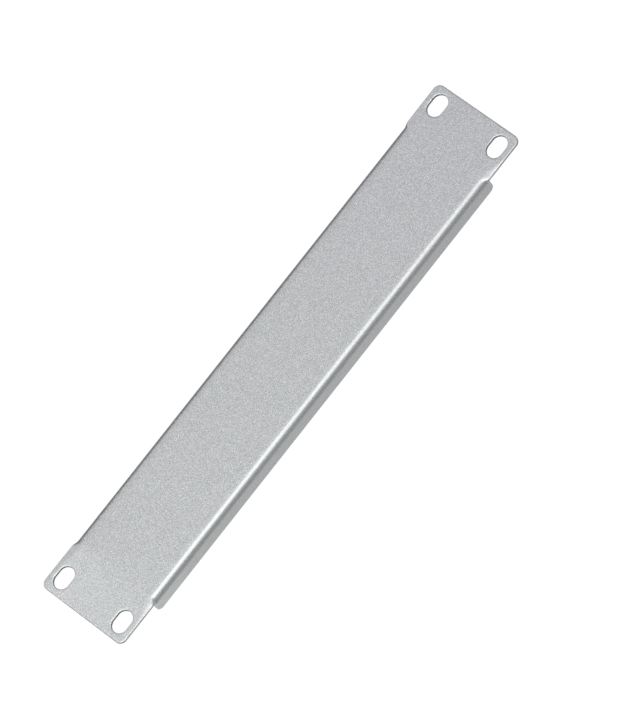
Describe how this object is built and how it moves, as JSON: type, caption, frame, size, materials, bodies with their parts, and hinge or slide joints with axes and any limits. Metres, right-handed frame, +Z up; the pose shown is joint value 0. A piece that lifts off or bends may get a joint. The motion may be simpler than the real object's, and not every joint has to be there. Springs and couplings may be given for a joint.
{
  "type": "rack blanking panel",
  "caption": "Folded sheet-metal blanking panel for a narrow equipment rack, with rear flanges along its long edges and slotted mounting ears.",
  "frame": {"origin": "centre of the four-slot pattern, in the plane of the ears' rear face, which meets the rack rails", "axes": "+X across the rack along the panel's length, +Z up the rack, -Y out of the rack, so the front face looks along -Y and the flanges reach back along +Y"},
  "size_m": [0.252, 0.0081, 0.044],
  "materials": {
    "silver_powder_coat": "fine-grained silver metallic powder coat, satin"
  },
  "bodies": {
    "root": {"blanking_panel": "silver_powder_coat"}
  },
  "joints": []
}
